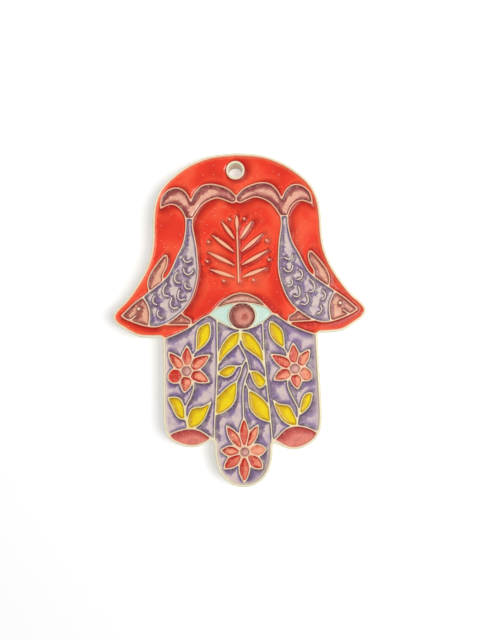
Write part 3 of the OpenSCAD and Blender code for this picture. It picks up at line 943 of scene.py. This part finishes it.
@dataclass
class GlazePool:
    """One node of glaze: a pool or a few, poured between the raised lines.

    Attributes:
        node: the CAD node's name.
        finish: the glaze.
        hand: distances to the hand's outline.
        level: height of the glaze's surface away from the lines.
        creep: how far it climbs at the lines.
        creep_w: how wide that climb is.
        corner: rounding of the pool's corners.
        overlap: how far the glaze reaches up the raised lines' flanks.
        free_w: width of the free clay that it needs there, as a multiple of overlap.
        taper: how many rounds of smoothing lead into the places where it can't.
        rim_w: width of the bare rim.
        rim_reach: an edge this near to the hand's outline is the outer rim.
        step: distance between points along the lines.
        rows: distances from the lines of the rows of points beside them.
        wide_step: distance between the points further in.
        wide_gap: how far those keep from the last row.
        crowd: least distance between two points inside the pool.
        fills: places of pools that were filled more (up to 1) or less (down to -1), and how much.
        lines: the pool's edges.
        floor: height of the glaze's underside.
    """

    node: str
    finish: GlazeFinish
    hand: EdgeMap
    level: float = 7.36
    creep: float = 0.26
    creep_w: float = 0.26
    corner: float = 0.28
    overlap: float = 0.1
    free_w: float = 2.5
    taper: int = 6
    rim_w: float = 0.9
    rim_reach: float = 1.25
    step: float = 0.3
    rows: tuple[float, ...] = (0.1, 0.24, 0.45, 0.8, 1.3)
    wide_step: float = 0.8
    wide_gap: float = 0.4
    crowd: float = 0.13
    fills: tuple[tuple[float, float, float], ...] = ()
    lines: list[np.ndarray] = field(init=False)
    floor: float = field(init=False)

    def __post_init__(self) -> None:
        """Reads the pool's lines from its CAD node."""
        low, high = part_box(self.node)
        self.floor = low.z / MM
        found = boundary(self.node, high.z / MM, up=True)
        soft = [softened(line, self.step, self.corner) for line in found]
        edges = EdgeMap(soft)
        self.lines = [self.climbed(line, edges) for line in soft]

    def climbed(self, line: np.ndarray, edges: EdgeMap) -> np.ndarray:
        """Moves a line up the clay's flank, unless the clay is too thin there.

        Args:
            line: one of the pool's lines.
            edges: the distances to all of them.

        Returns:
            The moved line.
        """
        out = -leftward(line)
        reach = self.free_w * self.overlap
        room = edges.distances(line + reach * out) > FREE_SHARE * reach
        room &= self.hand.distances(line) > self.rim_reach
        share = room.astype(float)
        for _ in range(self.taper):
            share = np.minimum(calmed(share), room)
        return evenly(line + self.overlap * share[:, None] * out, self.step)

    def heights(self, depth: np.ndarray) -> np.ndarray:
        """Height of the surface at each distance from the lines."""
        return self.level + self.creep * np.exp(-depth / self.creep_w)

    def build(self) -> Object:
        """Builds and dresses the glaze.

        Returns:
            The piece.
        """
        edges = EdgeMap(self.lines)
        beside = rows_beside(self.lines, edges, self.rows, 1)
        wide = honeycomb(np.vstack(self.lines), self.wide_step)
        wide = wide[edges.distances(wide) > self.rows[-1] + self.wide_gap]
        inner = spread(np.vstack([beside, wide]), self.crowd)
        top = Tiling.over(self.lines, inner)
        bottom = Tiling.over(self.lines)
        depth = edges.distances(top.points)
        depth[: sum(len(line) for line in self.lines)] = 0
        parts = MeshParts()
        upper = parts.add_points(top.points, self.heights(depth))
        lower = parts.add_points(bottom.points, self.floor)
        parts.add_triangles(top, upper, up=True)
        parts.add_triangles(bottom, lower, up=False)
        for rim in top.rims:
            parts.add_wall([upper + v for v in rim], [lower + v for v in rim], True)
        piece = parts.finish(f"{self.node}_fired")
        numbers = {
            # Painted shadow: the distance is shortened on the raised lines' lower right, so the
            # dark edge widens there
            "depth": self.depth_with_painted_shadow(top.points),
            "inland": self.hand.distances(top.points) - self.rim_w,
            "fill": self.filling(top.points, edges),
        }
        for name, above in numbers.items():
            put_numbers(piece, name, np.concatenate([above, np.zeros(len(bottom.points))]))
        name = self.finish_name
        material = bpy.data.materials.get(name) or self.finish.material(name)
        dress(piece, self.node, material)
        return piece

    def depth_with_painted_shadow(self, points: np.ndarray) -> np.ndarray:
        """Distance of each point from the raised lines, taken as less on their lower right, which
        widens the dark edge there as painted shadow.

        Args:
            points: the points.

        Returns:
            The distances; the outer rim doesn't count as a raised line.
        """
        inner = EdgeMap(self.lines)
        inner.keep(self.hand.distances(inner.points) > self.rim_reach)
        # Points on the lower right of a line count as nearer to it: painted shadow from light at
        # the upper left
        facing = inner.towards(points) @ np.array([SHADOW_LEAN_X, SHADOW_LEAN_Y])
        return inner.distances(points) / (1 + self.finish.shadow_lean * facing)

    def filling(self, points: np.ndarray, edges: EdgeMap) -> np.ndarray:
        """How much more or less glaze each point's pool got.

        Args:
            points: the points.
            edges: the distances to the pools' lines.

        Returns:
            A share from -1 to 1 for each point.
        """
        middles = np.array([line.mean(axis=0) for line in self.lines])
        shares = np.zeros(len(self.lines))
        for x, y, share in self.fills:
            shares[np.argmin(np.linalg.norm(middles - (x, y), axis=1))] = share
        return shares[[edges.near_tags(tuple(point), 1)[0][0] for point in points.tolist()]]

    @property
    def finish_name(self) -> str:
        """Name of the material: the slot, and the red and green of the last colour."""
        last = self.finish.stops[-1][1]
        return f"{self.finish.slot}_{last[0]}_{last[1]}"


@dataclass(kw_only=True)
class Area:
    """Some nodes of glaze that belong together.

    Attributes:
        petal_fills: places of the petals that got more or less glaze, and how much.
    """

    petal_fills: tuple[tuple[float, float, float], ...] = ()

    def finishes(self) -> dict[str, GlazeFinish]:
        """Names each node and its finish."""
        raise NotImplementedError

    def pools(self, hand: EdgeMap) -> list[GlazePool]:
        """Reads the area's pools.

        Args:
            hand: distances to the hand's outline.

        Returns:
            The pools of glaze.
        """
        return [
            GlazePool(name, finish, hand, fills=self.petal_fills if "petals" in name else ())
            for name, finish in self.finishes().items()
        ]


class RedGround(Area):
    """The red glaze round the fish and in the middle of the palm."""

    def finishes(self) -> dict[str, GlazeFinish]:
        """Names the two red nodes."""
        return {"red_glaze_field": RED, "red_glaze_panel": RED}


@dataclass(kw_only=True)
class Fish(Area):
    """A fish with its tail, scaled body, head and two fins.

    Attributes:
        side: the side of the hand.
    """

    side: Side

    def finishes(self) -> dict[str, GlazeFinish]:
        """Names the fish's five nodes."""
        parts = {"tail": TAIL, "body": LILAC, "head": HEAD, "back_fin": FIN, "belly_fin": FIN}
        return {f"{self.side.value}_fish_{part}_glaze": parts[part] for part in parts}


class Eye(Area):
    """The eye at the root of the fingers."""

    def finishes(self) -> dict[str, GlazeFinish]:
        """Names the lid, the white and the iris."""
        return {"eyelid_glaze": LID, "eye_white_glaze": WHITE, "iris_glaze": IRIS}


@dataclass(kw_only=True)
class OuterFinger(Area):
    """One of the two outer fingers, with its flower, leaves and tip.

    Attributes:
        side: the side of the hand.
    """

    side: Side

    def finishes(self) -> dict[str, GlazeFinish]:
        """Names the finger's seven nodes.

        Returns:
            Each node's finish.
        """
        parts = {
            "ground": GROUND, "top_leaf": YELLOW, "outer_leaf": YELLOW, "inner_leaf": YELLOW,
            "petals": SALMON, "flower_centre": CENTRE, "tip": CRIMSON,
        }
        return {f"{self.side.value}_finger_{part}_glaze": parts[part] for part in parts}


@dataclass(kw_only=True)
class MiddleFinger(Area):
    """The middle finger, with its six leaves and its flower.

    Attributes:
        leaves: the leaves' names.
    """

    leaves: tuple[str, ...] = (
        "top_left", "top_right", "small_left", "small_right", "bottom_left", "bottom_right"
    )

    def finishes(self) -> dict[str, GlazeFinish]:
        """Names the finger's nine nodes.

        Returns:
            Each node's finish.
        """
        parts = {f"{leaf}_leaf": YELLOW for leaf in self.leaves}
        parts |= {"ground": GROUND, "petals": SALMON, "flower_centre": CENTRE}
        return {f"middle_finger_{part}_glaze": parts[part] for part in parts}


@dataclass
class ClayBody:
    """The pressed clay hand with its raised lines, pockets and hanging hole.

    Attributes:
        node: the CAD node's name.
        finish: the clay.
        foot: height of a raised line's foot, where the glaze meets it.
        line_r: half the width of a raised line.
        edge_r: rounding of the upper outer edge.
        back_r: rounding of the lower outer edge.
        corner: rounding of the outline's corners.
        step: distance between points along the lines.
        line_rows: distances from the pools of the rows of points on the raised lines.
        edge_rows: distances from the outline and the hole of the rows of points beside them.
        crowd: least distance between two points inside the upper surface.
        stainers: how many of the nearest points of the pools' lines stain a place.
        blur: how far the stains of two pools run into each other, squared.
        top: height of the raised lines' crests.
        outlines: the hand's outline and the hole.
        hand: distances to the hand's outline.
    """

    node: str = "clay_body"
    finish: ClayFinish = ClayFinish()
    foot: float = 7.62
    line_r: float = 0.25
    edge_r: float = 0.55
    back_r: float = 0.6
    corner: float = 0.25
    step: float = 0.3
    line_rows: tuple[float, ...] = (0.25, 0.03, 0.09, 0.16)
    edge_rows: tuple[float, ...] = (0.05, 0.16, 0.32, 0.55)
    crowd: float = 0.05
    stainers: int = 14
    blur: float = 0.05
    top: float = field(init=False)
    outlines: list[np.ndarray] = field(init=False)
    hand: EdgeMap = field(init=False)

    def __post_init__(self) -> None:
        """Reads the outline and the hole from the back face of the CAD node."""
        low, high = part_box(self.node)
        self.top = high.z / MM
        found = boundary(self.node, low.z / MM, up=False)
        self.outlines = [softened(line, self.step, self.corner) for line in found]
        self.hand = EdgeMap([max(self.outlines, key=len)])

    def heights(self, from_pool: np.ndarray, from_edge: np.ndarray) -> np.ndarray:
        """Height of the raised clay.

        Args:
            from_pool: each point's distance to the nearest pool.
            from_edge: each point's distance to the hand's edge or the hole.

        Returns:
            The heights.
        """
        rise = np.clip(from_pool / self.line_r, 0, 1)
        round_line = (self.top - self.foot) * (1 - np.sqrt(1 - (1 - rise) ** 2))
        fall = np.clip(from_edge / self.edge_r, 0, 1)
        round_edge = self.edge_r * (1 - np.sqrt(1 - (1 - fall) ** 2))
        return self.top - round_line - round_edge

    def stains(self, points: np.ndarray, edges: EdgeMap, pools: list[GlazePool]) -> np.ndarray:
        """Colour that the neighbouring glazes give to each point.

        Args:
            points: the points.
            edges: the pools' lines, tagged with the pools' numbers.
            pools: the pools.

        Returns:
            A linear colour with alpha for each point.
        """
        colours = np.array([linear(pool.finish.stain) for pool in pools])
        made = []
        for x, y in points.tolist():
            near = edges.near_tags((x, y), self.stainers)
            pull = np.array([1 / (self.blur + d * d) for _, d in near])
            made.append(pull @ colours[[tag for tag, _ in near]] / pull.sum())
        return np.array(made)

    def build(self, pools: list[GlazePool]) -> Object:
        """Builds and dresses the clay.

        Args:
            pools: every pool of glaze, whose lines the pockets share.

        Returns:
            The piece.
        """
        lines = [line for pool in pools for line in pool.lines]
        tags = [i for i, pool in enumerate(pools) for _ in pool.lines]
        pool_edges, outer_edges = EdgeMap(lines, tags), EdgeMap(self.outlines)
        every = EdgeMap(lines + self.outlines)
        inner = np.vstack([
            rows_beside(self.outlines, every, self.edge_rows, 1),
            rows_beside(lines, every, self.line_rows, -1),
        ])
        top = Tiling.over(self.outlines + lines, spread(inner, self.crowd))
        from_pool = pool_edges.distances(top.points)
        from_edge = outer_edges.distances(top.points)
        outer_count = sum(len(line) for line in self.outlines)
        rim_count = outer_count + sum(len(line) for line in lines)
        from_edge[:outer_count] = 0
        from_pool[outer_count:rim_count] = 0
        parts = MeshParts()
        upper = parts.add_points(top.points, self.heights(from_pool, from_edge))
        parts.add_triangles(top, upper, up=True)
        self.add_pockets(parts, top, lines, pools[0].floor)
        self.add_sides(parts, top)
        piece = parts.finish(f"{self.node}_fired")
        places = np.array(parts.vertices)
        stain = self.stains(places[:, :2], pool_edges, pools)
        edge = outer_edges.distances(places[:, :2])
        # The back is bare clay, and its own edge has no band
        back = places[:, 2] < self.back_r + LEVEL_SLACK
        stain[back] = linear(self.finish.face)
        edge[back] = 2 * self.finish.rim_w
        put_colours(piece, "stain", stain)
        put_numbers(piece, "edge", edge)
        dress(piece, self.node, self.finish.material("fired_clay"))
        return piece

    def add_pockets(
        self, parts: MeshParts, top: Tiling, lines: list[np.ndarray], floor: float
    ) -> None:
        """Adds the pockets under the pools.

        Args:
            parts: the mesh so far.
            top: the upper surface, whose rims are the outlines and then the lines.
            lines: the pools' lines.
            floor: height of the pockets' floors.
        """
        bottom = Tiling.over(lines)
        start = parts.add_points(bottom.points, floor)
        parts.add_triangles(bottom, start, up=True)
        for rim, low in zip(top.rims[len(self.outlines):], bottom.rims):
            parts.add_wall(rim, [start + v for v in low], False)

    def add_sides(self, parts: MeshParts, top: Tiling) -> None:
        """Adds the outer wall, the hole's wall and the back.

        Args:
            parts: the mesh so far.
            top: the upper surface.
        """
        above = top.rims[: len(self.outlines)]
        for turn in (0, 30, 60, 90):
            inset = self.back_r * (1 - math.cos(math.radians(turn)))
            height = self.back_r * (1 - math.sin(math.radians(turn)))
            below = Tiling.over([line + inset * leftward(line) for line in self.outlines])
            start = parts.add_points(below.points, height)
            rims = [[start + v for v in rim] for rim in below.rims]
            for upper, lower in zip(above, rims):
                parts.add_wall(upper, lower, True)
            above = rims
        parts.add_triangles(below, start, up=False)


@dataclass
class Studio:
    """The pale table, the lamps and the camera.

    Attributes:
        middle: the point of the object under the middle of the picture.
        height: the camera's distance above the raised lines.
        lens: the camera's lens, for a sensor whose long side is 36.
        roll: how far the object is turned in the picture, in degrees.
        top: height of the raised lines' crests.
        sky: light from all round, where 1 lights a white surface fully.
        table_w: the table's side, in metres.
        cloth: the table's grey as it lights the object.
        paper: the table's grey as the camera sees it.
        glow: the light that it adds to that.
        white_from: distance from the middle where it starts to turn plain white, in metres.
        white_to: distance from which it is plain white, in metres.
    """

    middle: tuple[float, float] = (0.1, 0.05)
    height: float = 199.4
    lens: float = 34.0
    roll: float = -1.7
    top: float = 8.0
    sky: float = 0.26
    table_w: float = 3.0
    cloth: float = 0.9
    paper: float = 0.85
    glow: float = 0.26
    white_from: float = 0.12
    white_to: float = 0.28

    def lay_table(self) -> None:
        """Makes the table, which shows the object's shadow and turns white further off."""
        mesh = bpy.data.meshes.new("table")
        half = self.table_w / 2
        corners = [(-half, -half, 0), (half, -half, 0), (half, half, 0), (-half, half, 0)]
        mesh.from_pydata(corners, [], [(0, 1, 2, 3)])
        table = put_in_scene("table", mesh)
        sheet = NodeSheet(bpy.data.materials.new("table_top"))
        cloth = sheet.add("ShaderNodeBsdfDiffuse", Color=grey(self.cloth))
        paper = sheet.add("ShaderNodeBsdfDiffuse", Color=grey(self.paper))
        glow = sheet.add("ShaderNodeEmission", Strength=self.glow)
        both = sheet.tree.nodes.new("ShaderNodeAddShader")
        sheet.fill(both.inputs[0], paper.outputs[0])
        sheet.fill(both.inputs[1], glow.outputs[0])
        place = sheet.tree.nodes.new("ShaderNodeTexCoord")
        reach = sheet.add("ShaderNodeVectorMath", Vector=place.outputs["Object"])
        reach.operation = "LENGTH"
        far = sheet.span(reach.outputs["Value"], self.white_from, self.white_to, 0.0, 1.0)
        white = sheet.add("ShaderNodeEmission", Strength=1.0)
        seen = sheet.mixed(far, both, white)
        table.data.materials.append(sheet.close(sheet.mixed(sheet.seen_directly(), cloth, seen)))

    def light_sky(self) -> None:
        """Makes the even light from all round, and a white backdrop for the camera."""
        world = bpy.data.worlds.new("sky")
        bpy.context.scene.world = world
        sheet = NodeSheet(world)
        glow, plain = (
            sheet.add("ShaderNodeBackground", Color=grey(1.0), Strength=strength)
            for strength in (self.sky, 1.0)
        )
        sheet.close(sheet.mixed(sheet.seen_directly(), glow, plain))

    def hang_lamp(
        self, name: str, place: tuple[float, float, float], size: float, share: float, shadow: bool
    ) -> None:
        """Hangs a soft lamp that looks at the object.

        Args:
            name: the lamp's name.
            place: where it hangs, in metres.
            size: the side of its square, in metres.
            share: how far it lights a white surface that lies flat, from 0 to 1.
            shadow: whether its light casts shadows.
        """
        lamp = bpy.data.lights.new(name, "AREA")
        lamp.size = size
        lamp.use_shadow = shadow
        away = Vector(place)
        lamp.energy = share * math.pi**2 * away.length_squared / (away.z / away.length)
        holder = put_in_scene(name, lamp)
        holder.location = away
        holder.rotation_mode = "QUATERNION"
        holder.rotation_quaternion = (-away).to_track_quat("-Z", "Y")

    def set_camera(self) -> None:
        """Sets the camera straight above the object, turned as in the photograph."""
        lens = bpy.data.cameras.new("camera")
        lens.lens = self.lens
        lens.sensor_width = 36
        lens.clip_start, lens.clip_end = 0.01, 10
        holder = put_in_scene("camera", lens)
        x, y = self.middle
        holder.location = (x * MM, y * MM, (self.top + self.height) * MM)
        holder.rotation_euler = (0, 0, math.radians(self.roll))
        bpy.context.scene.camera = holder

    def build(self) -> None:
        """Builds the whole studio."""
        self.lay_table()
        self.light_sky()
        self.hang_lamp("window", (0.24, -0.02, 0.5), size=0.26, share=0.54, shadow=True)
        self.hang_lamp("spot", (-0.24, 0.3, 0.66), size=0.08, share=0.2, shadow=False)
        self.set_camera()
        bpy.context.scene.view_settings.view_transform = "Standard"


def main() -> None:
    """Builds the ornament and its studio."""
    logging.basicConfig(level=logging.INFO, format="%(message)s")
    areas = [
        RedGround(),
        *(Fish(side=side) for side in Side),
        Eye(),
        OuterFinger(
            side=Side.LEFT, petal_fills=((-22.6, -18.6, 0.9), (-18, -11, 0.25))
        ),
        OuterFinger(
            side=Side.RIGHT,
            petal_fills=((13.9, -13, 0.35), (17.7, -11, 0.35), (21.7, -19.5, -0.3)),
        ),
        MiddleFinger(petal_fills=(
            (6.2, -42.6, -0.7), (0.3, -36.5, 0.5), (-5, -47.3, 0.4), (0.2, -50, 0.3),
            (5, -47.5, 0.2),
        )),
    ]
    body = ClayBody()
    pools = [pool for area in areas for pool in area.pools(body.hand)]
    for pool in pools:
        pool.build()
    body.build(pools)
    Studio().build()


if __name__ == "__main__":
    main()
